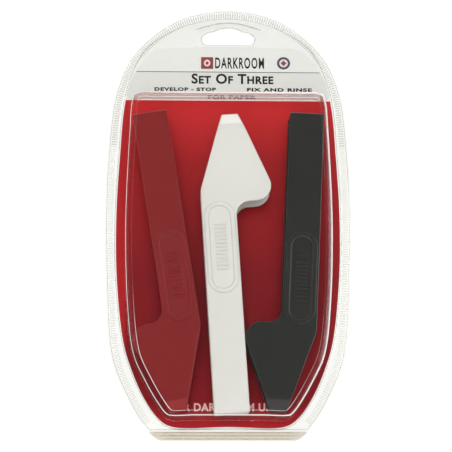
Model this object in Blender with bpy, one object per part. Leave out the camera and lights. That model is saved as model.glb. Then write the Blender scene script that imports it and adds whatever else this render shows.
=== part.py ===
"""Three print tongs in a clear clamshell pack with a hang slot.

The pack lies on its back. The origin is at the middle of its underside, +X is its width,
+Y runs towards the hang slot and +Z points out of the front of the dome. Units are metres;
plan sizes below are written in millimetres and scaled by MM.
"""
import math

import bmesh
import bpy
from mathutils import Matrix, Vector

MM = 0.001

# Pack, in mm
PACK_LENGTH = 264.0
WALL = 0.5               # thermoformed sheet
GAP = 0.3                # clearance between touching pieces
STEP = 0.9               # panel step of each shell, out from its flange
DOME_HEIGHT = 22.0       # card face to dome front
DOME_DRAFT = 0.066       # inward lean of the dome wall per mm of height
DOME_FILLET = 3.3        # round edge between dome wall and dome front
CARD_THICKNESS = 0.5
CREASE_Y = -126.8        # fold line of the clamshell

# Levels, in mm above the underside
BACK_FLANGE_Z = STEP
CARD_Z = WALL + GAP
CARD_FACE_Z = CARD_Z + CARD_THICKNESS
FRONT_FLANGE_Z = BACK_FLANGE_Z + WALL + GAP
FRONT_PANEL_Z = FRONT_FLANGE_Z + STEP
DOME_FRONT_Z = CARD_FACE_Z + DOME_HEIGHT
BELOW_PACK = -5.0        # ends of cutters that pass right through
ABOVE_FLANGES = 10.0
FOLD_REACH = 60.0        # half width that the fold strip is trimmed from

# Tongs, in mm: u runs from the bend to the tip, v across with the hook on -v, w from back to front
TONG_LENGTH = 177.3
TONG_THICKNESS = 20.0
SHAFT_HALF = 10.2
ARM_THICKNESS = 2.0
PAD_RISE = 0.8
PAD_HALF_LENGTH = 27.2
PAD_HALF_WIDTH = 9.0
PAD_RIM = 2.7
PAD_SINK = 0.5
BEND_LENGTH = 5.0        # end wall and the short stubs that it turns into
BEND_WALL = 2.4
BEND_OUTER_RADIUS = 1.4
BEND_INNER_RADIUS = 0.8
TIP_LENGTH = 8.5
TIP_ANGLE = math.radians(22)
TONG_Z = CARD_FACE_Z + GAP
TIP_NEAR = 5.3           # the tip's two ends, out from the centre line towards the hook
TIP_FAR = 14.9
SHOULDER = 131.0         # where the plain edge turns towards the tip

# Where each pair of tongs lies: middle of the bend's end face and the way that the arms point.
# The pairs differ a little: pad is the middle of the thumb pad along u, hook is where the hook's
# step leaves the shaft, and reach is how far the hook's corner stands off the centre line.
TONGS = {
    "red": {"bend": (-47.3, 60.8), "heading": math.radians(-80.8), "pad": 99.8, "hook": 125.4,
            "reach": 33.7, "color": (0.20, 0.015, 0.015)},
    "white": {"bend": (1.8, -117.2), "heading": math.radians(93.7), "pad": 96.4, "hook": 122.7,
              "reach": 35.9, "color": (0.80, 0.80, 0.76)},
    "dark": {"bend": (46.8, 60.7), "heading": math.radians(-92.8), "pad": 99.9, "hook": 126.3,
             "reach": 35.1, "color": (0.035, 0.035, 0.033)},
}

# Right-hand halves of the plan outlines, from the middle of the top edge to the bottom edge
RIM_HALF = [(0, 132.0), (24.6, 128.1), (43.7, 117.6), (60.5, 99.5), (69.4, 76.3), (73.4, 36.0),
            (74.2, 4.0), (73.2, -34.0), (70.1, -78.3), (66.3, -92.5), (59.9, -106.4), (51.8, -120.3),
            (42.0, -130.6), (38.0, -132.0), (0, -132.0)]
PANEL_HALF = [(0, 126.2), (16.0, 124.4), (33.0, 118.6), (50.6, 106.4), (60.4, 86.8), (64.4, 68.7),
              (66.6, 38.2), (68.1, 5.0), (67.5, -33.0), (63.4, -71.3), (59.8, -85.3), (50.8, -106.4),
              (40.8, -120.6), (34.0, -124.9), (0, -125.0)]
CARD_HALF = [(0, 108.4), (20.0, 107.7), (45.5, 105.6), (49.6, 102.2), (59.4, 86.6), (63.4, 68.7),
             (65.6, 38.2), (67.1, 5.0), (66.5, -33.0), (62.4, -71.3), (58.8, -85.3), (49.8, -106.4),
             (40.4, -119.6), (33.0, -123.9), (0, -124.0)]
DOME_HALF = [(0, 73.9), (44.0, 73.9), (52.3, 73.9), (56.8, 72.2), (58.6, 67.6), (59.9, 48.0),
             (61.4, 5.0), (61.3, -20.0), (60.2, -47.0), (57.5, -75.5), (54.7, -87.1), (49.3, -98.3),
             (42.8, -109.7), (36.6, -118.2), (33.6, -120.0), (20.0, -120.0), (0, -120.0)]
SLOT_HALF = [(0, 119.6), (5.0, 119.0), (8.6, 117.4), (12.6, 116.4), (15.6, 114.4), (16.2, 111.6),
             (14.4, 109.4), (11.0, 109.0), (0, 109.0)]


def clear_scene():
    """Empty the scene."""
    for obj in list(bpy.data.objects):
        bpy.data.objects.remove(obj, do_unlink=True)


def material(name, color, roughness, alpha=1.0):
    """A plain Principled material."""
    made = bpy.data.materials.new(name)
    made.use_nodes = True
    shader = made.node_tree.nodes["Principled BSDF"]
    shader.inputs["Base Color"].default_value = (*color, 1.0)
    shader.inputs["Roughness"].default_value = roughness
    shader.inputs["Alpha"].default_value = alpha
    return made


# ---------------------------------------------------------------- plan outlines

def mirrored(point):
    return Vector((-point[0], point[1]))


def through(half, per_span):
    """A centripetal Catmull-Rom curve through a half outline that starts and ends on x = 0."""
    points = [mirrored(half[1])] + [Vector(p) for p in half] + [mirrored(half[-2])]
    curve = []
    for a, b, c, d in zip(points, points[1:], points[2:], points[3:]):
        t1 = (b - a).length ** 0.5
        t2 = t1 + (c - b).length ** 0.5
        t3 = t2 + (d - c).length ** 0.5
        for k in range(per_span):
            t = t1 + (t2 - t1) * k / per_span
            ab = a.lerp(b, t / t1)
            bc = b.lerp(c, (t - t1) / (t2 - t1))
            cd = c.lerp(d, (t - t2) / (t3 - t2))
            abc = ab.lerp(bc, t / t2)
            bcd = bc.lerp(cd, (t - t1) / (t3 - t1))
            curve.append(abc.lerp(bcd, (t - t1) / (t2 - t1)))
    curve.append(points[-2])
    return curve


def mirrored_loop(half, per_span=3):
    """A closed outline, symmetric about x = 0, from its right-hand half, anticlockwise."""
    right = through(half, per_span)
    left = [mirrored(p) for p in right[1:-1]]
    return [right[0]] + left + right[:0:-1]


def inset(loop, distance):
    """The outline moved inward by a distance, for an anticlockwise outline."""
    moved = []
    for before, here, after in zip(loop[-1:] + loop[:-1], loop, loop[1:] + loop[:1]):
        one = (here - before).normalized()
        two = (after - here).normalized()
        normal = (Vector((-one.y, one.x)) + Vector((-two.y, two.x))).normalized()
        moved.append(here + normal * distance / max(normal.dot(Vector((-one.y, one.x))), 0.5))
    return moved


def rounded(corners, steps=5):
    """An outline from (x, y, radius) corners, each radius turned into an arc."""
    outline = []
    count = len(corners)
    for i, (x, y, radius) in enumerate(corners):
        here = Vector((x, y))
        if radius == 0:
            outline.append(here)
            continue
        back = (Vector(corners[i - 1][:2]) - here).normalized()
        ahead = (Vector(corners[(i + 1) % count][:2]) - here).normalized()
        half = back.angle(ahead) / 2
        centre = here + (back + ahead).normalized() * radius / math.sin(half)
        start = here + back * radius / math.tan(half) - centre
        sweep = start.angle_signed(here + ahead * radius / math.tan(half) - centre)
        outline += [centre + Matrix.Rotation(-sweep * k / steps, 2) @ start for k in range(steps + 1)]
    return outline


# ---------------------------------------------------------------- solids

def loft(name, rings):
    """A closed solid through rings of the same count, each a list of 3-D points in mm, capped."""
    mesh = bmesh.new()
    rows = [[mesh.verts.new(Vector(p) * MM) for p in ring] for ring in rings]
    count = len(rows[0])
    for low, high in zip(rows, rows[1:]):
        for i in range(count):
            j = (i + 1) % count
            mesh.faces.new((low[i], low[j], high[j], high[i]))
    mesh.faces.new(list(reversed(rows[0])))
    mesh.faces.new(rows[-1])
    bmesh.ops.recalc_face_normals(mesh, faces=mesh.faces)
    data = bpy.data.meshes.new(name)
    mesh.to_mesh(data)
    mesh.free()
    obj = bpy.data.objects.new(name, data)
    bpy.context.scene.collection.objects.link(obj)
    return obj


def at_height(loop, z):
    return [(p.x, p.y, z) for p in loop]


def prism(name, loop, low, high):
    """An upright solid of a plan outline between two heights, in mm."""
    return loft(name, [at_height(loop, low), at_height(loop, high)])


def combine(target, other, operation):
    """Apply an exact Boolean to the target, and remove the other solid."""
    modifier = target.modifiers.new(operation.lower(), "BOOLEAN")
    modifier.operation = operation
    modifier.solver = "EXACT"
    modifier.object = other
    graph = bpy.context.evaluated_depsgraph_get()
    data = bpy.data.meshes.new_from_object(target.evaluated_get(graph))
    target.modifiers.clear()
    target.data = data
    bpy.data.objects.remove(other, do_unlink=True)


def finish(obj, made_of, sharp=math.radians(30)):
    """Give the solid its material and smooth shading."""
    obj.data.materials.clear()
    obj.data.materials.append(made_of)
    obj.data.shade_smooth()
    obj.data.set_sharp_from_angle(angle=sharp)


# ---------------------------------------------------------------- pack

def above_crease(loop):
    """The part of an outline above the fold line, for an outline that crosses it once a side."""
    kept = []
    for here, after in zip(loop, loop[1:] + loop[:1]):
        if here.y > CREASE_Y:
            kept.append(here)
        if (here.y - CREASE_Y) * (after.y - CREASE_Y) < 0:
            kept.append(here.lerp(after, (CREASE_Y - here.y) / (after.y - here.y)))
    return kept


def dome_rings(shrink, low, front_z):
    """Rings of the dome from a height up to its front, all moved inward by shrink."""
    base = mirrored_loop(DOME_HALF)
    wall_top = front_z - DOME_FILLET
    rings = []
    for z in (low, wall_top):
        rings.append(at_height(inset(base, shrink + DOME_DRAFT * (z - FRONT_PANEL_Z)), z))
    lean = shrink + DOME_DRAFT * (wall_top - FRONT_PANEL_Z)
    fillet_steps = 4
    for k in range(1, fillet_steps + 1):
        turn = math.pi / 2 * k / fillet_steps
        inward = lean + DOME_FILLET * (1 - math.cos(turn))
        rings.append(at_height(inset(base, inward), wall_top + DOME_FILLET * math.sin(turn)))
    return rings


def hang_slot(shell):
    """Cut the hang slot through a shell."""
    combine(shell, prism("slot_cutter", mirrored_loop(SLOT_HALF), BELOW_PACK, ABOVE_FLANGES), "DIFFERENCE")


def front_shell(plastic):
    """Flange, raised panel and dome, with the same forms one wall thinner taken out of them."""
    panel = mirrored_loop(PANEL_HALF)
    shell = prism("front_shell", above_crease(mirrored_loop(RIM_HALF)), FRONT_FLANGE_Z,
                  FRONT_FLANGE_Z + WALL)
    middle = FRONT_FLANGE_Z + WALL / 2
    combine(shell, prism("panel", panel, middle, FRONT_PANEL_Z + WALL), "UNION")
    combine(shell, loft("dome", dome_rings(0, middle + WALL, DOME_FRONT_Z)), "UNION")
    combine(shell, prism("under_panel", inset(panel, WALL), BELOW_PACK, FRONT_PANEL_Z), "DIFFERENCE")
    combine(shell, loft("dome_inside", dome_rings(WALL, middle, DOME_FRONT_Z - WALL)), "DIFFERENCE")
    hang_slot(shell)
    finish(shell, plastic)


def back_shell(plastic):
    """Flange with a shallow panel pressed out to the back, where the card lies."""
    panel = mirrored_loop(PANEL_HALF)
    shell = prism("back_shell", above_crease(mirrored_loop(RIM_HALF)), BACK_FLANGE_Z,
                  BACK_FLANGE_Z + WALL)
    combine(shell, prism("panel", panel, 0, BACK_FLANGE_Z + WALL / 2), "UNION")
    combine(shell, prism("over_panel", inset(panel, WALL), WALL, ABOVE_FLANGES), "DIFFERENCE")
    hang_slot(shell)
    finish(shell, plastic)


def fold_hinge(plastic):
    """The strip below the fold line: it leaves the back flange, turns over and ends at the crease."""
    low = BACK_FLANGE_Z
    high = FRONT_FLANGE_Z + WALL
    radius = (high - low) / 2
    edge = -PACK_LENGTH / 2
    start = CREASE_Y - GAP
    outer = [(start, low)]
    inner = [(start, low + WALL)]
    arc_steps = 6
    for k in range(arc_steps + 1):
        turn = math.pi * k / arc_steps
        centre = (edge + radius, low + radius)
        outer.append((centre[0] - radius * math.sin(turn), centre[1] - radius * math.cos(turn)))
        bore = radius - WALL
        inner.append((centre[0] - bore * math.sin(turn), centre[1] - bore * math.cos(turn)))
    outer.append((start, high))
    inner.append((start, high - WALL))
    profile = outer + inner[::-1]
    strip = loft("fold_hinge", [[(x, y, z) for y, z in profile] for x in (-FOLD_REACH, FOLD_REACH)])
    combine(strip, prism("ends", mirrored_loop(RIM_HALF), BELOW_PACK, ABOVE_FLANGES), "INTERSECT")
    finish(strip, plastic)


def insert_card(board):
    """The printed card, a flat sheet."""
    card = prism("insert_card", mirrored_loop(CARD_HALF), CARD_Z, CARD_FACE_Z)
    finish(card, board)


# ---------------------------------------------------------------- tongs

def arm_outline(pair):
    """Plan of one arm from the bend to the tip, with the hook on the -v side."""
    start = BEND_LENGTH + GAP
    return rounded([
        (start, -SHAFT_HALF, 0),
        (pair["hook"], -SHAFT_HALF, 8.0),
        (pair["hook"], -pair["reach"], 9.3),
        (TONG_LENGTH, -TIP_FAR, 0.8),
        (TONG_LENGTH, -TIP_NEAR, 0.8),
        (SHOULDER, SHAFT_HALF, 15.0),
        (start, SHAFT_HALF, 0),
    ])


def pad_outline(pair, margin):
    """Oval of the thumb pad, moved inward by a margin."""
    radius = PAD_HALF_WIDTH - margin
    straight = PAD_HALF_LENGTH - PAD_HALF_WIDTH
    outline = []
    steps = 8
    for side in (1, -1):
        for k in range(steps + 1):
            turn = math.pi * (k / steps - 0.5)
            outline.append(Vector((pair["pad"] + side * (straight + radius * math.cos(turn)),
                                   side * radius * math.sin(turn))))
    return outline


def bend_tip(obj, towards):
    """Turn the last stretch of an arm by the tip angle, towards +w or -w."""
    mesh = bmesh.new()
    mesh.from_mesh(obj.data)
    cut = (TONG_LENGTH - TIP_LENGTH) * MM
    everything = mesh.verts[:] + mesh.edges[:] + mesh.faces[:]
    bmesh.ops.bisect_plane(mesh, geom=everything, plane_co=(cut, 0, 0), plane_no=(1, 0, 0))
    for vert in mesh.verts:
        if vert.co.x > cut:
            vert.co.z += towards * (vert.co.x - cut) * math.tan(TIP_ANGLE)
    mesh.to_mesh(obj.data)
    mesh.free()


def arm(name, plastic, pair, front):
    """One arm in the tong's own frame: plate, raised pad with a sunk middle, tip bent inward."""
    if front:
        face = TONG_THICKNESS - PAD_RISE
        plate = (face - ARM_THICKNESS, face)
        pad = (face - 1, TONG_THICKNESS)
        sunk = (TONG_THICKNESS - PAD_SINK, TONG_THICKNESS + 1)
    else:
        face = PAD_RISE
        plate = (face, face + ARM_THICKNESS)
        pad = (0, face + 1)
        sunk = (-1, PAD_SINK)
    made = prism(name, arm_outline(pair), *plate)
    bend_tip(made, -1 if front else 1)
    combine(made, prism("pad", pad_outline(pair, 0), *pad), "UNION")
    combine(made, prism("pad_middle", pad_outline(pair, PAD_RIM), *sunk), "DIFFERENCE")
    finish(made, plastic)
    return made


def spring_bend(name, plastic):
    """The end wall that turns into both arms."""
    low = PAD_RISE
    high = TONG_THICKNESS - PAD_RISE
    profile = rounded([
        (BEND_LENGTH, low, 0),
        (BEND_LENGTH, low + ARM_THICKNESS, 0),
        (BEND_WALL, low + ARM_THICKNESS, BEND_INNER_RADIUS),
        (BEND_WALL, high - ARM_THICKNESS, BEND_INNER_RADIUS),
        (BEND_LENGTH, high - ARM_THICKNESS, 0),
        (BEND_LENGTH, high, 0),
        (0, high, BEND_OUTER_RADIUS),
        (0, low, BEND_OUTER_RADIUS),
    ], steps=4)
    sides = [[(p.x, v, p.y) for p in profile] for v in (-SHAFT_HALF, SHAFT_HALF)]
    made = loft(name, sides)
    finish(made, plastic)
    return made


def tongs(color_name, pair):
    """Three solids of one pair of tongs, on an empty where the pair lies."""
    plastic = material(color_name + "_plastic", pair["color"], 0.45)
    origin = bpy.data.objects.new(color_name + "_tongs_origin", None)
    bpy.context.scene.collection.objects.link(origin)
    x, y = pair["bend"]
    origin.location = (x * MM, y * MM, TONG_Z * MM)
    origin.rotation_euler = (0, 0, pair["heading"])
    pieces = [
        arm(color_name + "_front_arm", plastic, pair, True),
        arm(color_name + "_rear_arm", plastic, pair, False),
        spring_bend(color_name + "_spring_bend", plastic),
    ]
    for piece in pieces:
        piece.parent = origin


def main():
    clear_scene()
    clear_plastic = material("clear_plastic", (0.92, 0.94, 0.93), 0.05, alpha=0.3)
    card_board = material("card_board", (0.50, 0.02, 0.03), 0.5)
    back_shell(clear_plastic)
    front_shell(clear_plastic)
    fold_hinge(clear_plastic)
    insert_card(card_board)
    for color_name, pair in TONGS.items():
        tongs(color_name, pair)


main()
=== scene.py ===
"""Three print tongs in a clear clamshell pack, on a pale floor under soft light.

Plan sizes and heights are in millimetres in the pack's own frame and scaled by MM: +X is the
pack's width, +Y runs towards the hang slot and +Z comes out of the front of the dome. Only the
places of the camera, the lamps and the floor are in metres.
"""
import math

import bmesh
import bpy
import numpy as np
from mathutils import Matrix, Vector


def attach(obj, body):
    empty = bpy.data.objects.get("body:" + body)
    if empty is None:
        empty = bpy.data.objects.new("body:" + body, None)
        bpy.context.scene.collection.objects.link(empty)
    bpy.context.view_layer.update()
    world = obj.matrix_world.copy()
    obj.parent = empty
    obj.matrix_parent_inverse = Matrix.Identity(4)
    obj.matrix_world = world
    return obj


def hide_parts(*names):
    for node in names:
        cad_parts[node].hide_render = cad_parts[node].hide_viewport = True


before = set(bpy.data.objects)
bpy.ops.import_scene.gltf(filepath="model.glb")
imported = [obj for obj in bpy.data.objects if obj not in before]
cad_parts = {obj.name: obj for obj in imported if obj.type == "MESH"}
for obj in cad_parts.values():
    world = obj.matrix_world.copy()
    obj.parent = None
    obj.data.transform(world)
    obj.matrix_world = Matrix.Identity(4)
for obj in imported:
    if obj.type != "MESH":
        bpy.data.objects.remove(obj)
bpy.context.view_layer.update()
MM = 0.001

# ---------------------------------------------------------------- sizes

WALL = 0.5
GAP = 0.3
CARD_LOW, CARD_FACE = 0.8, 1.3
PRINT_THICKNESS = 0.03
BACK_FLANGE_LOW = 0.9
FLANGE_TOP = 2.2
PANEL_TOP = 3.1
DOME_FRONT = 23.3
DOME_DRAFT = 0.066
DOME_FILLET = 3.3
FOOT_FILLET = 0.9
BEAD_RISE = 0.12         # of the fine bead round the dome's front
DOME_FACE = DOME_FRONT - BEAD_RISE
WALL_TOP = DOME_FACE - DOME_FILLET
CREASE_Y = -126.8        # where the front shell folds
PACK_END_Y = -132.0
KNURL_PITCH = 1.5        # of the bars across the weld
KNURL_OUTER, KNURL_INNER = 1.9, 5.3
KNURL_LONGEST = 4.6      # longer bars, fanned out at a sharp corner, are left out
RULE_Y = 91.9            # printed rule across the card's header
RED_TOP_Y = 73.6         # where the red print begins
CARD_FOOT_Y = -124.0
CARD_HALF_WIDTH = 67.0

TONG_LENGTH = 177.3
TONG_THICKNESS = 20.0
SHAFT_HALF = 10.2
ARM_THICKNESS = 2.0
PAD_RISE = 0.8
PAD_HALF_LENGTH = 27.2
PAD_HALF_WIDTH = 9.0
RIBS = 13
RIB_PITCH = 2.2
RIB_HALF_WIDTH, RIB_HALF_LENGTH = 0.42, 3.4
BEND_LENGTH = 5.0
BEND_WALL = 2.4
BEND_CORNER = 1.3
BLADE_TURN = 131.0       # where the shaft's straight side turns into the blade
TIP_LENGTH = 8.5
TIP_BLEND = 2.5          # half of the stretch over which the tip turns
TIP_ANGLE = math.radians(22)
TIP_SIDES = (-14.9, -5.3)   # the tip's two corners, across the tongs
TONG_Z = CARD_FACE + GAP
EDGE_FILLET = 0.6

# bend: middle of the end face; pad: middle of the thumb pad; hook: where the hook's step leaves the
# shaft; reach: how far the hook's corner stands off the centre line
TONGS = {
    "red": {"bend": (-47.3, 60.8), "heading": math.radians(-80.8), "pad": 99.8, "hook": 125.4,
            "reach": 33.7},
    "white": {"bend": (1.8, -117.2), "heading": math.radians(93.7), "pad": 96.4, "hook": 122.7,
              "reach": 35.9},
    "dark": {"bend": (46.8, 60.7), "heading": math.radians(-92.8), "pad": 99.9, "hook": 126.3,
             "reach": 35.1},
}

RIM_HALF = [(0, 132.0), (24.6, 128.1), (43.7, 117.6), (60.5, 99.5), (69.4, 76.3), (73.4, 36.0),
            (74.2, 4.0), (73.2, -34.0), (70.1, -78.3), (66.3, -92.5), (59.9, -106.4), (51.8, -120.3),
            (42.0, -130.6), (38.0, -132.0), (0, -132.0)]
PANEL_HALF = [(0, 126.2), (16.0, 124.4), (33.0, 118.6), (50.6, 106.4), (60.4, 86.8), (64.4, 68.7),
              (66.6, 38.2), (68.1, 5.0), (67.5, -33.0), (63.4, -71.3), (59.8, -85.3), (50.8, -106.4),
              (40.8, -120.6), (34.0, -124.9), (0, -125.0)]
CARD_HALF = [(0, 108.4), (20.0, 107.7), (45.5, 105.6), (49.6, 102.2), (59.4, 86.6), (63.4, 68.7),
             (65.6, 38.2), (67.1, 5.0), (66.5, -33.0), (62.4, -71.3), (58.8, -85.3), (49.8, -106.4),
             (40.4, -119.6), (33.0, -123.9), (0, -124.0)]
DOME_HALF = [(0, 73.9), (44.0, 73.9), (52.3, 73.9), (56.8, 72.2), (58.6, 67.6), (59.9, 48.0),
             (61.4, 5.0), (61.3, -20.0), (60.2, -47.0), (57.5, -75.5), (54.7, -87.1), (49.3, -98.3),
             (42.8, -109.7), (36.6, -118.2), (33.6, -120.0), (20.0, -120.0), (0, -120.0)]
SLOT_HALF = [(0, 119.6), (5.0, 119.0), (8.6, 117.4), (12.6, 116.4), (15.6, 114.4), (16.2, 111.6),
             (14.4, 109.4), (11.0, 109.0), (0, 109.0)]
RING_POINTS = 480


# ---------------------------------------------------------------- camera, light and floor

CAMERA_PLACE = Vector((-0.0193, -0.15075, 0.7283))
CAMERA_AIM = Vector((-0.0013, -0.00475, 0.0013))
FLOOR_Z = -0.0002        # a hair below the pack's back


def make_camera():
    """A long lens that looks down on the pack from a little below and left of its middle."""
    data = bpy.data.cameras.new("camera")
    data.sensor_width = 36.0
    data.lens = 98.36
    data.clip_start = 0.02
    camera = placed("camera", data)
    back = (CAMERA_PLACE - CAMERA_AIM).normalized()
    right = Vector((0, 1, 0)).cross(back).normalized()
    turn = Matrix((right, back.cross(right), back)).transposed()
    camera.matrix_world = Matrix.Translation(CAMERA_PLACE) @ turn.to_4x4()
    bpy.context.scene.camera = camera


def area_light(name, place, size, watts):
    """A rectangular lamp that faces the pack's middle."""
    data = bpy.data.lights.new(name, "AREA")
    data.shape = "RECTANGLE"
    data.size, data.size_y = size
    data.energy = watts
    lamp = placed(name, data)
    lamp.location = place
    lamp.rotation_euler = (-Vector(place)).to_track_quat("-Z", "Y").to_euler()
    return lamp


def make_world():
    """A pale surround with a dim patch overhead, which the flat clear faces mirror."""
    world = bpy.data.worlds.new("studio")
    bpy.context.scene.world = world
    world.use_nodes = True
    nodes, links = world.node_tree.nodes, world.node_tree.links
    background = nodes["Background"]
    coords = nodes.new("ShaderNodeTexCoord")
    split = nodes.new("ShaderNodeSeparateXYZ")
    links.new(coords.outputs["Generated"], split.inputs[0])
    sky = ramped(nodes, links, split.outputs["Z"], (0.0, grey(1)), (0.80, grey(0.95)),
                 (0.95, grey(0.12)))
    links.new(sky, background.inputs["Color"])
    background.inputs["Strength"].default_value = 0.56


def make_lamps():
    """Two high lamps, two fills towards the pack's foot, and a strip along each side."""
    # the two high lamps light the plastic without showing as a glare in the clear sheet
    for name, place, size, watts in (("key", (-0.3, 0.55, 2.0), (1.0, 1.0), 12.0),
                                     ("top", (0.15, 0.1, 2.0), (1.2, 1.2), 21.0)):
        lamp = area_light(name, place, size, watts)
        lamp.visible_glossy = False
    area_light("high_fill", (-0.55, -0.95, 1.45), (0.8, 0.8), 3.5)
    area_light("low_fill", (0.15, -1.5, 1.1), (1.6, 0.8), 3.5)
    # the strips are only there to be mirrored in the dome's sides
    for name, place, size, watts in (("left_strip", (-1.6, 0.0, 0.75), (0.3, 1.8), 3.0),
                                     ("right_strip", (1.6, 0.0, 0.75), (0.9, 1.8), 30.0),
                                     ("foot_strip", (0.0, -1.6, 0.75), (1.8, 0.3), 9.0),
                                     ("head_strip", (0.0, 1.6, 0.75), (1.8, 0.3), 9.0)):
        strip = area_light(name, place, size, watts)
        strip.visible_diffuse = False


def make_studio():
    scene = bpy.context.scene
    scene.view_settings.view_transform = "Standard"
    scene.cycles.transparent_max_bounces = 40
    make_world()
    make_lamps()
    bpy.ops.mesh.primitive_plane_add(size=8.0, location=(0, 0, FLOOR_Z))
    floor = bpy.context.object
    floor.name = "floor"
    floor.data.materials.append(lit_paper("floor_paper"))


# ---------------------------------------------------------------- materials

def grey(value):
    """A neutral colour, with alpha."""
    return (value, value, value, 1)


def blank(name):
    """A new material with its nodes, its links and its shader."""
    made = bpy.data.materials.new(name)
    made.use_nodes = True
    nodes = made.node_tree.nodes
    return made, nodes, made.node_tree.links, nodes["Principled BSDF"]


def ramped(nodes, links, value, first, *others):
    """The colour that a ramp through (place, colour) stops gives for a value."""
    ramp = nodes.new("ShaderNodeValToRGB")
    stops = ramp.color_ramp.elements
    *middle, last = others
    stops[0].position, stops[0].color = first
    stops[1].position, stops[1].color = last
    for place, color in middle:
        stops.new(place).color = color
    links.new(value, ramp.inputs["Fac"])
    return ramp.outputs["Color"]


def blended(nodes, links, factor, first, second):
    """A mix of two colours by a factor; first is a colour or another node's output."""
    mix = nodes.new("ShaderNodeMix")
    mix.data_type = "RGBA"
    if isinstance(first, bpy.types.NodeSocket):
        links.new(first, mix.inputs["A"])
    else:
        mix.inputs["A"].default_value = first
    mix.inputs["B"].default_value = second
    links.new(factor, mix.inputs["Factor"])
    return mix.outputs["Result"]


def along_axis(nodes, links, value, low, high):
    """A coordinate in metres as its share of the way from low to high, in millimetres."""
    share = nodes.new("ShaderNodeMapRange")
    share.inputs["From Min"].default_value = low * MM
    share.inputs["From Max"].default_value = high * MM
    links.new(value, share.inputs["Value"])
    return share.outputs["Result"]


def finished(shader, roughness, specular):
    """Set how rough and how mirroring a surface is."""
    shader.inputs["Roughness"].default_value = roughness
    shader.inputs["Specular IOR Level"].default_value = specular


def noise_bump(nodes, links, shader, scale, strength, distance=0.0001):
    """Fine noise in a surface's relief."""
    coords = nodes.new("ShaderNodeTexCoord")
    noise = nodes.new("ShaderNodeTexNoise")
    noise.inputs["Scale"].default_value = scale
    noise.inputs["Detail"].default_value = 3.0
    bump = nodes.new("ShaderNodeBump")
    bump.inputs["Strength"].default_value = strength
    bump.inputs["Distance"].default_value = distance
    links.new(coords.outputs["Object"], noise.inputs["Vector"])
    links.new(noise.outputs["Fac"], bump.inputs["Height"])
    links.new(bump.outputs["Normal"], shader.inputs["Normal"])


def plain(name, color, roughness, specular=0.5, bump=None):
    """One even colour, with a noise bump's scale and strength where it has one."""
    made, nodes, links, shader = blank(name)
    shader.inputs["Base Color"].default_value = (*color, 1)
    finished(shader, roughness, specular)
    if bump:
        noise_bump(nodes, links, shader, *bump)
    return made


def lit_paper(name):
    """White paper lit from behind, so that shadows on it stay faint."""
    made = plain(name, (0.38, 0.38, 0.38), 1.0, specular=0.0)
    shader = made.node_tree.nodes["Principled BSDF"]
    shader.inputs["Emission Color"].default_value = grey(1)
    shader.inputs["Emission Strength"].default_value = 0.70
    return made


def moulded(name, color, roughness, specular, edge, tip):
    """Satin moulded plastic with fine grain and flow clouds, and painted light on edges and tips:
    painted highlight or shade on sloping edges, painted highlight on tilted tips.
    """
    made, nodes, links, shader = blank(name)
    noise_bump(nodes, links, shader, 900.0, 0.12, 0.00005)
    coords = nodes.new("ShaderNodeTexCoord")
    clouds = nodes.new("ShaderNodeTexNoise")
    clouds.inputs["Scale"].default_value = 28.0
    clouds.inputs["Detail"].default_value = 2.0
    links.new(coords.outputs["Object"], clouds.inputs["Vector"])
    darker, lighter = ((*[min(c * gain, 1) for c in color], 1) for gain in (0.93, 1.07))
    tone_so_far = blended(nodes, links, clouds.outputs["Fac"], darker, lighter)
    split = nodes.new("ShaderNodeSeparateXYZ")
    upright = nodes.new("ShaderNodeMath")
    upright.operation = "ABSOLUTE"
    links.new(coords.outputs["Normal"], split.inputs[0])
    links.new(split.outputs["Z"], upright.inputs[0])
    # each painted tone, highlight or shade, holds between the two middle values of how upright the
    # surface's normal stands
    for painted_light_tone, (start, full, end, stop) in ((edge, (0.15, 0.3, 0.86, 0.905)),
                                           (tip, (0.905, 0.918, 0.937, 0.95))):
        share = ramped(nodes, links, upright.outputs[0], (start, grey(0)), (full, grey(1)),
                       (end, grey(1)), (stop, grey(0)))
        tone_so_far = blended(nodes, links, share, tone_so_far, (*painted_light_tone, 1))
    links.new(tone_so_far, shader.inputs["Base Color"])
    finished(shader, roughness, specular)
    return made


def red_print(name):
    """Red ink under a satin varnish, with painted shade making it deeper low on the card and painted
    light making it lighter at its sides.
    """
    made, nodes, links, shader = blank(name)
    coords = nodes.new("ShaderNodeTexCoord")
    split = nodes.new("ShaderNodeSeparateXYZ")
    links.new(coords.outputs["Object"], split.inputs[0])
    up = along_axis(nodes, links, split.outputs["Y"], CARD_FOOT_Y, RED_TOP_Y)
    # painted shade: darker from the top down to the lower middle, where the tongs shade the card,
    # and lighter again at the foot
    field = ramped(nodes, links, up, (0.0, (0.42, 0.010, 0.018, 1)), (0.07, (0.22, 0.005, 0.009, 1)),
                   (0.45, (0.205, 0.005, 0.009, 1)), (0.80, (0.34, 0.009, 0.012, 1)),
                   (1.0, (0.56, 0.020, 0.023, 1)))
    across = along_axis(nodes, links, split.outputs["X"], -CARD_HALF_WIDTH, CARD_HALF_WIDTH)
    # painted light: lighter side strips, the left one most
    sides = ramped(nodes, links, across, (0.0, grey(1)), (0.042, grey(0.95)), (0.055, grey(0)),
                   (0.945, grey(0)), (0.958, grey(0.3)), (1.0, grey(0.35)))
    ink = blended(nodes, links, sides, field, (0.42, 0.010, 0.014, 1))
    links.new(ink, shader.inputs["Base Color"])
    finished(shader, 0.42, 0.12)
    noise_bump(nodes, links, shader, 260.0, 0.05)
    return made


CLOUD_POWER = 6.0


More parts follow.
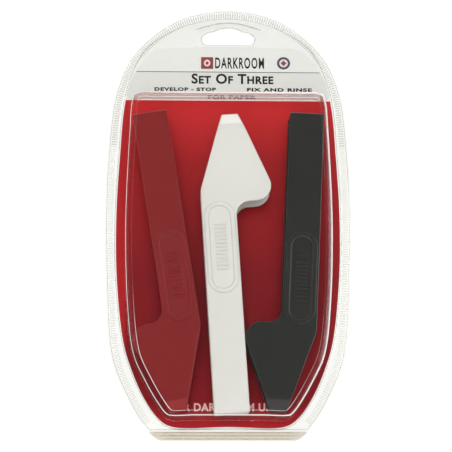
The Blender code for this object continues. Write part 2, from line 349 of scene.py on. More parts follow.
def clear_sheet(name, tint=(0.984, 0.983, 0.977), edge=(0.68, 0.68, 0.67), haze=0.0,
                milk=(0.86, 0.86, 0.85), mirror=0.9, power=4.0, cloud=0.14, polish=0.05,
                least=0.024, sharp=5.0):
    """Clear thermoformed sheet: nearly invisible face on, mirroring and milky at a slant.

    tint and edge colour what is seen through it face on and at a slant, with power setting how
    steeply; mirror, sharp and least are the mirror's strength at a slant, its steepness and its
    strength face on; cloud and haze are the milk's strength at a slant and face on.
    """
    made, nodes, links, shader = blank(name)
    nodes.remove(shader)
    weight = nodes.new("ShaderNodeLayerWeight")
    weight.inputs["Blend"].default_value = 0.5

    def slant(power, gain, base):
        raised = nodes.new("ShaderNodeMath")
        raised.operation = "POWER"
        raised.inputs[1].default_value = power
        scaled = nodes.new("ShaderNodeMath")
        scaled.operation = "MULTIPLY_ADD"
        scaled.inputs[1].default_value = gain
        scaled.inputs[2].default_value = base
        scaled.use_clamp = True
        links.new(weight.outputs["Facing"], raised.inputs[0])
        links.new(raised.outputs[0], scaled.inputs[0])
        return scaled.outputs[0]

    def layered(share, under, over):
        mix = nodes.new("ShaderNodeMixShader")
        links.new(share, mix.inputs["Fac"])
        links.new(under, mix.inputs[1])
        links.new(over, mix.inputs[2])
        return mix.outputs[0]

    see = nodes.new("ShaderNodeBsdfTransparent")
    links.new(blended(nodes, links, slant(power, 1.0, 0.0), (*tint, 1), (*edge, 1)),
              see.inputs["Color"])
    gloss = nodes.new("ShaderNodeBsdfGlossy")
    gloss.inputs["Roughness"].default_value = polish
    cloudy = nodes.new("ShaderNodeBsdfDiffuse")
    cloudy.inputs["Color"].default_value = (*milk, 1)
    shiny = layered(slant(sharp, mirror, least), see.outputs[0], gloss.outputs[0])
    clouded = layered(slant(CLOUD_POWER, cloud, haze), shiny, cloudy.outputs[0])
    links.new(clouded, nodes["Material Output"].inputs["Surface"])
    return made


# ---------------------------------------------------------------- plan outlines

def through(half, spacing=0.25):
    """Dense right-hand curve through a half outline, centripetal Catmull-Rom, (n, 2)."""
    ghosts = [(-x, y) for x, y in (half[1], half[-2])]
    points = [np.array(p, float) for p in [ghosts[0], *half, ghosts[1]]]
    curve = []
    for a, b, c, d in zip(points, points[1:], points[2:], points[3:]):
        t1 = math.sqrt(np.linalg.norm(b - a))
        t2 = t1 + math.sqrt(np.linalg.norm(c - b))
        t3 = t2 + math.sqrt(np.linalg.norm(d - c))
        count = max(2, int(np.linalg.norm(c - b) / spacing))
        t = (t1 + (t2 - t1) * np.arange(count) / count)[:, None]
        ab = a + (b - a) * t / t1
        bc = b + (c - b) * (t - t1) / (t2 - t1)
        cd = c + (d - c) * (t - t2) / (t3 - t2)
        abc = ab + (bc - ab) * t / t2
        bcd = bc + (cd - bc) * (t - t1) / (t3 - t1)
        curve.append(abc + (bcd - abc) * (t - t1) / (t2 - t1))
    curve.append(points[-2][None, :])
    return np.concatenate(curve)


def closed(half, spacing=0.25):
    """Closed anticlockwise outline from its right-hand half."""
    right = through(half, spacing)
    left = right[1:-1] * (-1, 1)
    return np.concatenate([right[:1], left, right[:0:-1]])


def resampled(loop, count):
    """The loop at equal steps along its length."""
    ring = np.concatenate([loop, loop[:1]])
    along = np.concatenate([[0], np.cumsum(np.linalg.norm(np.diff(ring, axis=0), axis=1))])
    at = np.arange(count) * along[-1] / count
    return np.stack([np.interp(at, along, ring[:, k]) for k in (0, 1)], axis=1)


def clipped_low(loop, y):
    """The loop with everything below y moved up to y, densely along the cut."""
    kept = loop[loop[:, 1] > y]
    first = int(np.argmax(np.diff(kept[:, 0]) > 10.0))
    half = kept[first + 1, 0]
    cut = np.stack([np.linspace(-half, half, 400), np.full(400, y)], axis=1)
    return np.concatenate([kept[:first + 1], cut, kept[first + 1:]])


def at_angles(loop, angles):
    """Points of a loop that is star-shaped about the origin, at the given angles."""
    own = np.unwrap(np.arctan2(loop[:, 1], loop[:, 0]))
    radius = np.linalg.norm(loop, axis=1)
    order = np.argsort(own % (2 * math.pi))
    found = np.interp(angles % (2 * math.pi), (own % (2 * math.pi))[order], radius[order],
                      period=2 * math.pi)
    return np.stack([np.cos(angles) * found, np.sin(angles) * found], axis=1)


def inset(loop, distance):
    """The anticlockwise loop moved inward, with folded-over stretches drawn together."""
    before = loop - np.roll(loop, 1, axis=0)
    after = np.roll(loop, -1, axis=0) - loop
    before = before / np.linalg.norm(before, axis=1)[:, None]
    after = after / np.linalg.norm(after, axis=1)[:, None]
    one = np.stack([-before[:, 1], before[:, 0]], axis=1)
    two = np.stack([-after[:, 1], after[:, 0]], axis=1)
    normal = one + two
    normal /= np.linalg.norm(normal, axis=1)[:, None]
    moved = loop + normal * (distance / np.maximum((normal * one).sum(1), 0.5))[:, None]
    least = 0.02
    for _ in range(40):
        step = np.roll(moved, -1, axis=0) - moved
        folded = np.nonzero((step * after).sum(1) < least)[0]
        if not len(folded):
            break
        for i in folded:
            j = (i + 1) % len(moved)
            middle = (moved[i] + moved[j]) / 2
            span = after[i] * least
            moved[i], moved[j] = middle - span, middle + span
    return moved


# ---------------------------------------------------------------- meshes

def quarter_turn(steps, first=0):
    """Angles from 0 to 90 degrees in equal steps."""
    return [math.pi / 2 * k / steps for k in range(first, steps + 1)]


def placed(name, data):
    """A new object in the scene for a mesh, a text, a lamp or the camera."""
    piece = bpy.data.objects.new(name, data)
    bpy.context.scene.collection.objects.link(piece)
    return piece


def linked(name, verts, faces, smooth=True):
    """A piece from points in millimetres."""
    data = bpy.data.meshes.new(name)
    data.from_pydata([tuple(v) for v in np.asarray(verts, float) * MM], [], faces)
    data.update()
    if smooth:
        data.shade_smooth()
    return placed(name, data)


def lofted(rings, cap_first=True):
    """Vertices and faces through rings of equal count, (k, n, 3), with n-gon caps."""
    rings = np.asarray(rings, float)
    count = rings.shape[1]
    faces = []
    for k in range(len(rings) - 1):
        low, high = k * count, (k + 1) * count
        for i in range(count):
            j = (i + 1) % count
            faces.append((low + i, low + j, high + j, high + i))
    if cap_first:
        faces.append(tuple(reversed(range(count))))
    last = (len(rings) - 1) * count
    faces.append(tuple(range(last, last + count)))
    return list(rings.reshape(-1, 3)), faces


def level(loop, z):
    """A plan outline at one height, (n, 3)."""
    return np.concatenate([loop, np.full((len(loop), 1), float(z))], axis=1)


def evaluated(piece):
    """Apply the piece's modifiers."""
    graph = bpy.context.evaluated_depsgraph_get()
    data = bpy.data.meshes.new_from_object(piece.evaluated_get(graph))
    piece.modifiers.clear()
    piece.data = data


def combined(piece, other, operation):
    """A Boolean of the piece with another, which is used up."""
    modifier = piece.modifiers.new("combine", "BOOLEAN")
    modifier.operation = operation
    modifier.solver = "EXACT"
    modifier.object = other
    evaluated(piece)
    bpy.data.objects.remove(other, do_unlink=True)


def faced_outward(data):
    """Make all faces of a closed mesh point out."""
    mesh = bmesh.new()
    mesh.from_mesh(data)
    bmesh.ops.recalc_face_normals(mesh, faces=mesh.faces)
    mesh.to_mesh(data)
    mesh.free()


def repaired_normals(piece, degrees=35):
    """Faces pointing out, smooth but for edges sharper than an angle."""
    faced_outward(piece.data)
    piece.data.shade_smooth()
    piece.data.set_sharp_from_angle(angle=math.radians(degrees))


def cut_across(mesh, axis, places):
    """Split a bmesh's faces where planes across an axis, at places along it, meet them."""
    for place in places:
        everything = mesh.verts[:] + mesh.edges[:] + mesh.faces[:]
        bmesh.ops.bisect_plane(mesh, geom=everything, plane_co=axis * (place * MM), plane_no=axis)


def dressed(piece, made_of, body, replaces=()):
    """Material, body and the CAD nodes that the piece stands for."""
    if made_of is not None:
        piece.data.materials.clear()
        piece.data.materials.append(made_of)
    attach(piece, body)
    if replaces:
        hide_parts(*replaces)
    return piece


# ---------------------------------------------------------------- pack

def pack_rings():
    """Rings of the rim, the panel and the dome's foot, with matching points at matching angles."""
    dome = resampled(closed(DOME_HALF), RING_POINTS)
    angles = np.unwrap(np.arctan2(dome[:, 1], dome[:, 0]))
    rim = clipped_low(closed(RIM_HALF), CREASE_Y)
    corner = rim[rim[:, 1] <= CREASE_Y + 1e-6]
    for x in (corner[:, 0].min(), corner[:, 0].max()):
        wanted = math.atan2(CREASE_Y, x)
        turn = (angles - wanted + math.pi) % (2 * math.pi) - math.pi
        nearest = int(np.argmin(np.abs(turn)))
        angles[nearest] -= turn[nearest]
    return [at_angles(loop, angles) for loop in (rim, closed(PANEL_HALF), closed(DOME_HALF))]


def sheet(name, rings):
    """A shell one wall thick behind a skin that ends in a flat face, with the hang slot cut."""
    verts, faces = lofted(rings, cap_first=False)
    shell = linked(name, verts, faces)
    solid = shell.modifiers.new("wall", "SOLIDIFY")
    solid.thickness = WALL * MM
    solid.offset = -1.0
    evaluated(shell)
    slot = resampled(closed(SLOT_HALF), 120)
    cutter = linked("slot_cutter", *lofted([level(slot, -5), level(slot, 10)]))
    combined(shell, cutter, "DIFFERENCE")
    repaired_normals(shell, 40)
    return shell


def flange_rings(rim, z, way):
    """The rim with a fine groove just inside it; way is 1 or -1, the side the skin faces."""
    profile = ((0.0, -0.12), (0.12, 0.0), (1.1, 0.0), (1.35, -0.14), (1.6, 0.0))
    return [level(inset(rim, d), z + way * rise) for d, rise in profile]


def step_rings(panel, low, high):
    """The rounded step from the flange to the panel."""
    profile = ((-0.4, 0.0), (-0.12, 0.12), (0.05, 0.5), (0.22, 0.88), (0.5, 1.0))
    return [level(inset(panel, d), low + (high - low) * part) for d, part in profile]


def lean(z):
    """How far the dome's wall has leaned inward at z."""
    return DOME_DRAFT * (z - PANEL_TOP)


def dome_rings(foot):
    """The dome's filleted foot, leaning wall and round front edge, up to its flat front."""
    rings = []
    for turn in quarter_turn(5):
        rings.append(level(inset(foot, -FOOT_FILLET * (1 - math.sin(turn))),
                           PANEL_TOP + FOOT_FILLET * (1 - math.cos(turn))))
    for part in (0.33, 0.66, 1.0):
        z = PANEL_TOP + FOOT_FILLET + (WALL_TOP - PANEL_TOP - FOOT_FILLET) * part
        rings.append(level(inset(foot, lean(z)), z))
    for turn in quarter_turn(8, first=1):
        inward = lean(WALL_TOP) + DOME_FILLET * (1 - math.cos(turn))
        rings.append(level(inset(foot, inward), WALL_TOP + DOME_FILLET * math.sin(turn)))
    rings.append(level(inset(foot, lean(WALL_TOP) + DOME_FILLET + 0.5), DOME_FACE))
    return rings


def ridge(name, path, width, height, z):
    """A low rounded ridge along a plan path, half sunk in the face at z."""
    path = np.asarray(path, float)
    along = np.gradient(path, axis=0)
    along /= np.linalg.norm(along, axis=1)[:, None]
    side = np.stack([-along[:, 1], along[:, 0]], axis=1)
    across = 9
    taper = np.clip(np.minimum(np.arange(len(path)), np.arange(len(path))[::-1]) / 6, 0.15, 1) ** 0.5
    rings = []
    for k in range(across):
        turn = 2 * math.pi * k / across
        offset = math.cos(turn) * width / 2 * taper
        rise = math.sin(turn) * height * taper
        rings.append(np.column_stack([path + side * offset[:, None], z + rise]))
    rings = np.swapaxes(np.array(rings), 0, 1)
    return linked(name, *lofted(rings))


def outward(loop):
    """Outward unit normals of a closed anticlockwise outline."""
    along = np.roll(loop, -1, axis=0) - np.roll(loop, 1, axis=0)
    along /= np.linalg.norm(along, axis=1)[:, None]
    return np.stack([along[:, 1], -along[:, 0]], axis=1)


def bead(name, loop, width, height, z, fade=1.0):
    """A low rounded bead round a closed outline at z, thinned where fade is below 1."""
    side = outward(loop)
    across = 8
    fade = np.broadcast_to(fade, len(loop))[:, None]
    verts = np.concatenate([np.column_stack([loop + side * math.cos(turn) * width / 2 * fade,
                                             z + math.sin(turn) * height * fade[:, 0]])
                            for turn in np.arange(across) * 2 * math.pi / across])
    count = len(loop)
    faces = []
    for k in range(across):
        low, high = k * count, (k + 1) % across * count
        faces += [(low + i, low + (i + 1) % count, high + (i + 1) % count, high + i)
                  for i in range(count)]
    made = linked(name, verts, faces)
    repaired_normals(made, 60)
    return made


def weld_band(name, z, way):
    """Fine bars across the weld between the two flanges; way is the side that they stand on."""
    dense = clipped_low(closed(RIM_HALF), CREASE_Y)
    length = np.linalg.norm(np.diff(np.concatenate([dense, dense[:1]]), axis=0), axis=1).sum()
    ring = resampled(dense, int(length / KNURL_PITCH))
    # low corners 0 1 6 7, crest corners 2 3 4 5
    quads = ((0, 1, 3, 2), (2, 3, 5, 4), (4, 5, 7, 6), (1, 7, 5, 3), (0, 2, 4, 6), (0, 6, 7, 1))
    foot_half, crest_half, slope, sunk = 0.36, 0.16, 0.25, -0.05
    verts, faces = [], []
    for start, end in zip(inset(ring, KNURL_OUTER), inset(ring, KNURL_INNER)):
        along = end - start
        reach = np.linalg.norm(along)
        if start[1] < CREASE_Y + 4.0 or reach > KNURL_LONGEST:
            continue
        along /= reach
        side = np.array([-along[1], along[0]])
        crest = float(np.interp(start[1], (0.0, 70.0), (0.06, 0.18)))
        faces += [tuple(len(verts) + i for i in quad) for quad in quads]
        for place, half, rise in ((0.0, foot_half, sunk), (slope, crest_half, crest),
                                  (reach - slope, crest_half, crest), (reach, foot_half, sunk)):
            for sign in (-1, 1):
                x, y = start + along * place + side * half * sign
                verts.append((x, y, z + way * rise))
    band = linked(name, verts, faces, smooth=False)
    faced_outward(band.data)
    return band


def fold_strip():
    """The strip below the fold line: out along the back flange, over and back to the crease."""
    low, high = BACK_FLANGE_LOW, FLANGE_TOP
    radius = (high - low) / 2
    start = CREASE_Y - 0.02
    outer, inner = [(start, low)], [(start, low + WALL)]
    for k in range(13):
        turn = math.pi * k / 12
        y, z = PACK_END_Y + radius, low + radius
        outer.append((y - radius * math.sin(turn), z - radius * math.cos(turn)))
        bore = radius - WALL
        inner.append((y - bore * math.sin(turn), z - bore * math.cos(turn)))
    for crease in (-129.8, -128.4):
        outer += [(crease - 0.2, high), (crease, high - 0.25), (crease + 0.2, high)]
    outer.append((start, high))
    inner.append((start, high - WALL))
    profile = outer + inner[::-1]
    rings = [[(x, y, z) for y, z in profile] for x in np.linspace(-60, 60, 25)]
    strip = linked("fold_strip", *lofted(rings))
    repaired_normals(strip)
    rim = resampled(closed(RIM_HALF), 700)
    combined(strip, linked("ends", *lofted([level(rim, -1), level(rim, 10)])), "INTERSECT")
    repaired_normals(strip, 30)
    return strip


# the walls' pinkish tint at a slant is a painted reflection of the red card
WALL_EDGE = (0.80, 0.66, 0.66)

# how each kind of clear plastic differs from the plain sheet
CLEAR_KINDS = {
    "front": {},
    "back": {},
    # the wall kinds are copies picked by facing: painted reflection of the red card, and on wall_lit
    # a stronger mirror as painted highlight on the right-hand walls
    "wall": {"edge": WALL_EDGE, "mirror": 0.16, "power": 2.5, "cloud": 0.02, "polish": 0.22,
             "least": 0.008},
    "wall_lit": {"edge": WALL_EDGE, "mirror": 0.6, "power": 2.5, "cloud": 0.02, "polish": 0.22,
                 "least": 0.008, "sharp": 3.0},
    "wall_head": {"edge": (0.83, 0.68, 0.68), "mirror": 0.2, "power": 2.5, "cloud": 0.06,
                  "polish": 0.22, "least": 0.02},
    "tab": {"tint": (0.945, 0.946, 0.936)},
    # painted highlights: milky white for the bright lines round the dome's front edge
    "edge_highlight": {"haze": 0.5, "milk": (0.98, 0.93, 0.91)},
    "glint": {"haze": 0.72, "milk": (0.98, 0.94, 0.92)},
    "line": {"tint": (0.80, 0.81, 0.79), "edge": (0.6, 0.6, 0.6)},
    "knurl": {"tint": (0.982, 0.983, 0.976), "edge": (0.75, 0.75, 0.73)},
    "knurl_head": {"tint": (0.945, 0.947, 0.937), "edge": (0.62, 0.62, 0.60)},
    "fold": {"tint": (0.95, 0.938, 0.908), "haze": 0.14, "milk": (0.72, 0.69, 0.61)},
    "crease": {"tint": (0.70, 0.66, 0.58), "haze": 0.1, "milk": (0.5, 0.47, 0.4)},
}


def on_front(piece, plastic):
    return dressed(piece, plastic, "pack_front")


def make_front_shell(clear, rim, panel, foot):
    """The sheet with copies of its plastic on the dome's walls, picked by the way they face, as
    painted reflection and highlight, and a darker copy on the header.
    """
    front = sheet("front_shell_sheet", flange_rings(rim, FLANGE_TOP, 1)
                  + step_rings(panel, FLANGE_TOP, PANEL_TOP) + dome_rings(foot))
    dressed(front, clear["front"], "pack_front", ["front_shell"])
    for kind in ("wall", "wall_lit", "wall_head", "tab"):
        front.data.materials.append(clear[kind])
    # walls facing +x take the lit copy and walls facing +y the head copy, as painted highlight and
    # reflection
    for face in front.data.polygons:
        if face.center.z > (PANEL_TOP + 0.2) * MM and abs(face.normal.z) < 0.985:
            way = face.normal.to_2d().normalized()
            if way.dot(face.center.to_2d()) < 0:
                way = -way
            face.material_index = 2 if way.x > 0.5 else 3 if way.y > 0.7 else 1
        elif face.center.z > (FLANGE_TOP + 0.2) * MM and face.center.y > RED_TOP_Y * MM:
            face.material_index = 4


def make_back_shell(clear, rim, panel):
    """The flat-backed sheet, lofted downward, so its rings run the other way round."""
    rings = (flange_rings(rim, BACK_FLANGE_LOW, -1) + step_rings(panel, BACK_FLANGE_LOW, 0.0)
             + [level(inset(panel, 1.2), 0.0)])
    back = sheet("back_shell_sheet", [ring[::-1] for ring in rings])
    dressed(back, clear["back"], "pack_back", ["back_shell"])


def make_dome_beads(clear, foot):
    """The two bright lines round the dome's front edge, painted highlights in milky white, faint
    where no light catches them.
    """
    edge = inset(foot, lean(WALL_TOP) + DOME_FILLET + 0.3)
    low = np.clip((-42.0 - edge[:, 1]) / 45.0, 0.0, 1.0)
    low *= np.interp(edge[:, 0], (25.0, 45.0), (1.0, 0.25))
    low *= 1 - 0.55 * np.clip(-outward(edge)[:, 1] * 4 - 3, 0.0, 1.0)
    head = np.clip((edge[:, 1] - 66.0) / 2.0, 0.0, 1.0)
    fade = np.maximum(np.maximum(low, head), 0.06)
    on_front(bead("dome_front_bead", edge, 0.42, BEAD_RISE, DOME_FACE, fade), clear["edge_highlight"])
    # the outer bead climbs the dome's round edge towards the two ends of the pack
    way = outward(foot)[:, 1]
    turn = np.radians(4.0 + 20.0 * np.clip(way, 0, 1) ** 2 + 40.0 * np.clip(-way, 0, 1) ** 2)
    inward = (lean(WALL_TOP) + DOME_FILLET * (1 - np.cos(turn)))[:, None]
    # the outer painted highlight is drawn wider on the right and towards the head
    swell = np.interp(foot[:, 0], (-60.0, -30.0, 30.0, 60.0), (0.5, 0.85, 1.0, 1.6))
    swell *= 1 + 0.5 * np.clip(way, 0, 1) ** 2
    on_front(bead("dome_edge_bead", foot - outward(foot) * inward, 0.6, 0.2,
                  WALL_TOP + DOME_FILLET * np.sin(turn), swell), clear["glint"])


def make_flat_beads(clear, rim, panel):
    """Fine raised lines along the panel, the rim and the slot, and the arch over the slot."""
    for name, loop, z in (("panel_bead", inset(panel, 0.45), PANEL_TOP),
                          ("rim_bead", inset(rim, 1.35), FLANGE_TOP)):
        on_front(bead(name, loop, 0.35, 0.08, z), clear["line"])
    arch = through([(0, 123.0), (7.0, 122.4), (14.0, 120.6), (20.5, 118.6), (24.0, 118.2)], 0.6)
    arch = arch[arch[:, 0] <= 20.6]
    arch = np.concatenate([arch[:0:-1] * (-1, 1), arch])
    on_front(ridge("arch_bead", arch, 0.8, 0.32, PANEL_TOP), clear["line"])
    slot = inset(resampled(closed(SLOT_HALF), 160), -0.3)
    on_front(bead("slot_bead", slot, 0.4, 0.07, PANEL_TOP), clear["line"])


def make_weld_bands(clear):
    """The bars across the weld on both shells, drawn darker round the header."""
    for name, z, way, body in (("front_weld_band", FLANGE_TOP, 1, "pack_front"),
                               ("back_weld_band", BACK_FLANGE_LOW, -1, "pack_back")):
        band = dressed(weld_band(name, z, way), clear["knurl"], body)
        band.data.materials.append(clear["knurl_head"])
        for face in band.data.polygons:
            face.material_index = int(face.center.y > 45 * MM)


def make_fold_lines(clear):
    """Three dull lines along the creases of the fold strip."""
    for k, (y, half) in enumerate(((-127.25, 43.5), (-129.1, 42.0), (-130.9, 39.0))):
        path = np.stack([np.linspace(-half, half, 60), np.full(60, y)], axis=1)
        dressed(ridge(f"fold_line_{k + 1}", path, 0.4, 0.12, FLANGE_TOP - 0.13), clear["crease"],
                "pack_back")


def make_pack():
    clear = {kind: clear_sheet("clear_" + kind, **look) for kind, look in CLEAR_KINDS.items()}
    rim, panel, foot = pack_rings()
    make_front_shell(clear, rim, panel, foot)
    make_back_shell(clear, rim, panel)
    dressed(fold_strip(), clear["fold"], "pack_back", ["fold_hinge"])
    make_dome_beads(clear, foot)
    make_flat_beads(clear, rim, panel)
    make_weld_bands(clear)
    make_fold_lines(clear)


# ---------------------------------------------------------------- card and print

def make_card():
    """The board, split where its print changes: white header, grey title field, red field."""
    loop = resampled(closed(CARD_HALF), 360)
    verts, faces = lofted([level(loop, CARD_LOW), level(loop, CARD_FACE)])
    card = linked("insert_card_board", verts, faces, smooth=False)
    for made_of in (plain("card_core", (0.86, 0.86, 0.84), 0.7), red_print("card_red"),
                    plain("card_white", (0.86, 0.86, 0.845), 0.45, bump=(300.0, 0.04)),
                    plain("card_grey", (0.785, 0.79, 0.77), 0.45, bump=(300.0, 0.04))):
        card.data.materials.append(made_of)
    mesh = bmesh.new()
    mesh.from_mesh(card.data)
    cut_across(mesh, Vector((0, 1, 0)), (RULE_Y, RED_TOP_Y))
    mesh.normal_update()
    for face in mesh.faces:
        y = face.calc_center_median().y / MM
        if face.normal.z < 0.5:
            face.material_index = 0
        elif y < RED_TOP_Y:
            face.material_index = 1
        else:
            face.material_index = 2 if y > RULE_Y else 3
    mesh.to_mesh(card.data)
    mesh.free()
    dressed(card, None, "pack_back", ["insert_card"])


def printed(name, low, high, ink, outline, layer=0):
    """A thin printed form: a plan outline at unit scale, fitted to a box on the card's face."""
    outline = np.asarray(outline, float)
    span = outline.max(0) - outline.min(0)
    fitted = low + (outline - outline.min(0)) / span * (np.array(high) - np.array(low))
    top = CARD_FACE + PRINT_THICKNESS + layer * 0.02
    piece = linked(name, *lofted([level(fitted, CARD_FACE), level(fitted, top)]), smooth=False)
    dressed(piece, ink, "pack_back")


def lettering(name, words, low, high, ink, weight=0.0, spacing=1.0, small_caps=None):
    """Generic words as a thin mesh, fitted to a box on the card's face."""
    curve = bpy.data.curves.new(name, "FONT")
    curve.body = words
    curve.size = 1.0
    curve.offset = weight
    curve.space_character = spacing
    curve.extrude = 0.01
    curve.resolution_u = 4
    if small_caps:
        curve.small_caps_scale = small_caps
        for letter, form in zip(words, curve.body_format):
            form.use_small_caps = letter.islower()
    text = placed(name, curve)
    graph = bpy.context.evaluated_depsgraph_get()
    data = bpy.data.meshes.new_from_object(text.evaluated_get(graph))
    bpy.data.objects.remove(text, do_unlink=True)
    points = np.zeros(len(data.vertices) * 3)
    data.vertices.foreach_get("co", points)
    points = points.reshape(-1, 3)
    span = points.max(0) - points.min(0)
    unit = (points - points.min(0)) / span
    size = np.array([high[0] - low[0], high[1] - low[1], PRINT_THICKNESS])
    fitted = (np.array([low[0], low[1], CARD_FACE]) + unit * size) * MM
    data.vertices.foreach_set("co", fitted.reshape(-1))
    data.update()
    dressed(placed(name, data), ink, "pack_back")


def circle(count=48):
    """Corners of a regular polygon: a circle, or a diamond with four of them."""
    turns = np.arange(count) * 2 * math.pi / count
    return np.stack([np.cos(turns), np.sin(turns)], axis=1)


SQUARE = [(0, 0), (1, 0), (1, 1), (0, 1)]


def make_print():
    make_card()
    black = plain("ink_black", (0.012, 0.012, 0.012), 0.6, specular=0.2)
    maroon = plain("ink_maroon", (0.30, 0.035, 0.045), 0.5)
    pale = plain("ink_pale", (0.80, 0.78, 0.76), 0.5)
    navy = plain("ink_navy", (0.06, 0.05, 0.12), 0.5)
    slate = plain("ink_grey", (0.09, 0.09, 0.09), 0.5)
    rose = plain("ink_rose", (0.72, 0.46, 0.43), 0.5)
    card = closed(CARD_HALF)
    near = card[np.abs(card[:, 1] - RULE_Y) < 0.3]
    edge = np.abs(near[:, 0]).min() - 0.15
    printed("rule", (-edge, RULE_Y - 0.22), (edge, RULE_Y + 0.22), slate, SQUARE)
    printed("icon_square", (-16.7, 93.9), (-9.2, 101.5), maroon, SQUARE)
    printed("icon_drop", (-14.9, 95.5), (-11.0, 99.9), pale, circle(), layer=1)
    printed("icon_spot", (-13.9, 96.6), (-12.0, 98.7), maroon, circle(), layer=2)
    lettering("word_heading", "DARKROOM", (-8.0, 94.2), (22.2, 101.4), black, 0.024, 1.2)
    printed("badge_disc", (30.2, 93.9), (38.3, 101.9), navy, circle())
    printed("badge_ring", (31.6, 95.3), (36.9, 100.5), pale, circle(), layer=1)
    printed("badge_diamond", (32.4, 96.1), (36.1, 99.7), maroon, circle(4), layer=2)
    lettering("word_title", "Set Of Three", (-22.5, 84.3), (27.9, 90.9), black, 0.03, 1.08,
              small_caps=0.76)
    lettering("word_left", "DEVELOP - STOP", (-45.2, 79.6), (-7.4, 81.9), black, 0.05, 1.15)
    lettering("word_right", "FIX AND RINSE", (11.6, 79.6), (51.6, 81.9), black, 0.05, 1.15)
    lettering("word_middle", "FOR PAPER", (-12.3, 74.6), (17.1, 77.0), slate, 0.05, 1.15)
    lettering("word_foot", "FOR DARKROOM USE", (-34.0, -115.0), (28.0, -110.2), rose, 0.03, 1.1)


# ---------------------------------------------------------------- tongs

def arcs(corners, steps=14):
    """Outline from (x, y, radius) corners, clockwise or anticlockwise, with arcs."""
    outline = []
    for i, (x, y, radius) in enumerate(corners):
        here = Vector((x, y))
        if radius == 0:
            outline.append(here)
            continue
        back = (Vector(corners[i - 1][:2]) - here).normalized()
        ahead = (Vector(corners[(i + 1) % len(corners)][:2]) - here).normalized()
        half = back.angle(ahead) / 2
        centre = here + (back + ahead).normalized() * radius / math.sin(half)
        start = here + back * radius / math.tan(half) - centre
        sweep = start.angle_signed(here + ahead * radius / math.tan(half) - centre)
        outline += [centre + Matrix.Rotation(-sweep * k / steps, 2) @ start
                    for k in range(steps + 1)]
    return np.array([tuple(p) for p in outline])


def inset_path(path, distance):
    """An open anticlockwise path moved inward; its two ends slide along the closing edge."""
    step = np.diff(path, axis=0)
    step /= np.linalg.norm(step, axis=1)[:, None]
    before = np.concatenate([step[:1], step])
    after = np.concatenate([step, step[-1:]])
    one = np.stack([-before[:, 1], before[:, 0]], axis=1)
    two = np.stack([-after[:, 1], after[:, 0]], axis=1)
    normal = one + two
    normal /= np.linalg.norm(normal, axis=1)[:, None]
    return path + normal * (distance / np.maximum((normal * one).sum(1), 0.4))[:, None]


def tip_drop(u):
    """How far the front arm's tip has turned down at u along the tongs."""
    past = u - (TONG_LENGTH - TIP_LENGTH)
    if past < -TIP_BLEND:
        return 0.0
    turned = past if past > TIP_BLEND else (past + TIP_BLEND) ** 2 / (4 * TIP_BLEND)
    return turned * math.tan(TIP_ANGLE)


def plate_rings(outline, low, high):
    """An arm's plate, with its upper and lower edges rounded."""
    rings = [level(inset_path(outline, EDGE_FILLET + 0.15), low)]
    for turn in quarter_turn(5):
        rings.append(level(inset_path(outline, EDGE_FILLET * (1 - math.sin(turn))),
                           low + EDGE_FILLET * (1 - math.cos(turn))))
    for turn in quarter_turn(5):
        rings.append(level(inset_path(outline, EDGE_FILLET * (1 - math.cos(turn))),
                           high - EDGE_FILLET * (1 - math.sin(turn))))
    rings.append(level(inset_path(outline, EDGE_FILLET + 0.15), high))
    return rings


def arm_mesh(pair, front):
    """Plate with rounded edges and a bent tip, with a raised, dished and ribbed thumb pad.

    A rear arm is the front arm turned over in thickness.
    """
    outline = arcs([
        (BEND_LENGTH, -SHAFT_HALF, 0),
        (pair["hook"], -SHAFT_HALF, 8.0),
        (pair["hook"], -pair["reach"], 9.3),
        (TONG_LENGTH, TIP_SIDES[0], 0.8),
        (TONG_LENGTH, TIP_SIDES[1], 0.8),
        (BLADE_TURN, SHAFT_HALF, 15.0),
        (BEND_LENGTH, SHAFT_HALF, 0),
    ])
    face = TONG_THICKNESS - PAD_RISE
    plate = linked("plate", *lofted(plate_rings(outline, face - ARM_THICKNESS, face)))
    mesh = bmesh.new()
    mesh.from_mesh(plate.data)
    start = TONG_LENGTH - TIP_LENGTH
    cut_across(mesh, Vector((1, 0, 0)), np.linspace(start - TIP_BLEND, start + TIP_BLEND, 9))
    for vert in mesh.verts:
        vert.co.z -= tip_drop(vert.co.x / MM) * MM
    mesh.to_mesh(plate.data)
    mesh.free()
    return merged("arm", [plate, *pad_form(pair["pad"], face)], turned_over=not front)


def stadium(centre, margin, steps=28):
    """The pad's outline moved inward by a margin: two half circles joined by straight sides."""
    radius = PAD_HALF_WIDTH - margin
    straight = PAD_HALF_LENGTH - PAD_HALF_WIDTH
    turns = np.linspace(-math.pi / 2, math.pi / 2, steps + 1)
    right = np.stack([centre + straight + radius * np.cos(turns), radius * np.sin(turns)], axis=1)
    left = np.stack([centre - straight - radius * np.cos(turns), -radius * np.sin(turns)], axis=1)
    return np.concatenate([right, left])


def rib(u, floor):
    """One low bar across the pad's sunk middle, narrower at its crest."""
    rings = []
    for margin, rise in ((0.0, -0.1), (0.0, 0.26), (0.1, 0.46), (0.24, 0.54)):
        thin, long = RIB_HALF_WIDTH - margin, RIB_HALF_LENGTH - margin
        rings.append([(u + along * thin, across * long, floor + rise)
                      for along, across in ((-1, -1), (1, -1), (1, 1), (-1, 1))])
    return linked("rib", *lofted(rings))


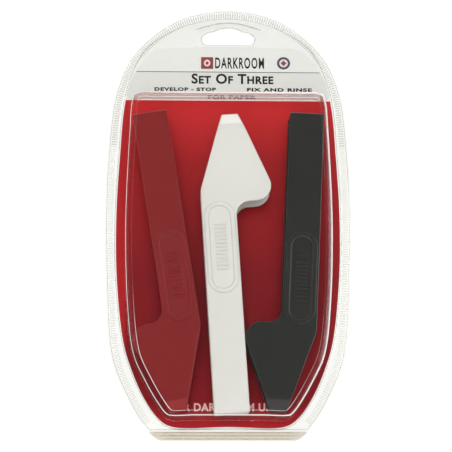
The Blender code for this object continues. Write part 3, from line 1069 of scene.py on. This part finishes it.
def pad_form(centre, face):
    """The pad's broad rim and sunk middle, and its row of fine ribs."""
    top = face + PAD_RISE
    edge = 0.5
    profile = [(0.0, face - 0.3), (0.0, top - edge)]
    for turn in quarter_turn(5, first=1):
        profile.append((edge * (1 - math.cos(turn)), top - edge + edge * math.sin(turn)))
    profile += [(1.2, top), (2.1, top), (2.35, top - 0.06), (2.55, top - 0.22), (2.7, top - 0.48),
                (2.9, top - 0.62), (3.3, top - 0.66), (4.6, top - 0.62), (6.6, top - 0.58)]
    pad = linked("pad", *lofted([level(stadium(centre, d), z) for d, z in profile]))
    places = [centre + RIB_PITCH * (k - (RIBS - 1) / 2) for k in range(RIBS)]
    return [pad] + [rib(u, top - 0.63) for u in places]


def shaded(data, broad=20e-6):
    """Smooth shading on the rounded faces, flat shading on the broad ones."""
    data.shade_smooth()
    data.set_sharp_from_angle(angle=math.radians(40))
    for face in data.polygons:
        if face.area > broad:
            face.use_smooth = False


def merged(name, forms, turned_over=False):
    """One mesh of several closed forms."""
    mesh = bmesh.new()
    for form in forms:
        mesh.from_mesh(form.data)
        bpy.data.objects.remove(form, do_unlink=True)
    if turned_over:
        for vert in mesh.verts:
            vert.co.z = TONG_THICKNESS * MM - vert.co.z
    bmesh.ops.recalc_face_normals(mesh, faces=mesh.faces)
    data = bpy.data.meshes.new(name)
    mesh.to_mesh(data)
    mesh.free()
    shaded(data)
    return data


def bend_mesh():
    """The end wall that turns into both arms, with its plan corners rounded."""
    low, high = PAD_RISE, TONG_THICKNESS - PAD_RISE
    profile = arcs([
        (BEND_LENGTH, low, 0),
        (BEND_LENGTH, low + ARM_THICKNESS, 0),
        (BEND_WALL, low + ARM_THICKNESS, 0.8),
        (BEND_WALL, high - ARM_THICKNESS, 0.8),
        (BEND_LENGTH, high - ARM_THICKNESS, 0),
        (BEND_LENGTH, high, 0),
        (0, high, 1.4),
        (0, low, 1.4),
    ], steps=10)
    flat = profile[:, 0] > BEND_LENGTH - 1e-6
    rings = []
    turns = quarter_turn(8)
    for side, turn in [(-1, turn) for turn in turns] + [(1, turn) for turn in turns[::-1]]:
        shrink = EDGE_FILLET * (1 - math.sin(turn))
        moved = inset(profile, shrink) if shrink > 1e-6 else profile.copy()
        moved[flat, 0] = BEND_LENGTH
        moved[:, 0] = np.maximum(moved[:, 0], BEND_CORNER * (1 - math.sin(turn)))
        # the rounding reaches further along v for the plan corner than for the edges
        v = side * (SHAFT_HALF - EDGE_FILLET * (1 - math.cos(turn)) * 1.6)
        rings.append(np.stack([moved[:, 0], np.full(len(moved), v), moved[:, 1]], axis=1))
    return merged("bend", [linked("bend", *lofted(rings))])


# base colour, roughness, specular level, painted highlight or shade on the edges and painted
# highlight on the tip
PLASTICS = {
    "red": ((0.200, 0.0085, 0.0095), 0.40, 0.20, (0.27, 0.024, 0.026), (0.265, 0.021, 0.023)),
    "white": ((0.665, 0.66, 0.625), 0.40, 0.30, (0.56, 0.555, 0.53), (0.80, 0.80, 0.775)),
    "dark": ((0.019, 0.0193, 0.018), 0.38, 0.25, (0.052, 0.052, 0.049), (0.036, 0.036, 0.034)),
}


def make_tongs():
    """Each pair is modelled along its own u axis from the bend's end face, then put in its place."""
    for color, pair in TONGS.items():
        plastic = moulded(color + "_plastic", *PLASTICS[color])
        x, y = pair["bend"]
        place = (Matrix.Translation((x * MM, y * MM, TONG_Z * MM))
                 @ Matrix.Rotation(pair["heading"], 4, "Z"))
        for kind, data, body in (("front_arm", arm_mesh(pair, True), color + "_arm"),
                                 ("rear_arm", arm_mesh(pair, False), "pack_back"),
                                 ("spring_bend", bend_mesh(), "pack_back")):
            data.transform(place)
            dressed(placed(f"{color}_{kind}_moulding", data), plastic, body,
                    [f"{color}_{kind}"])


# ---------------------------------------------------------------- all together

make_camera()
make_studio()
make_print()
make_tongs()
make_pack()
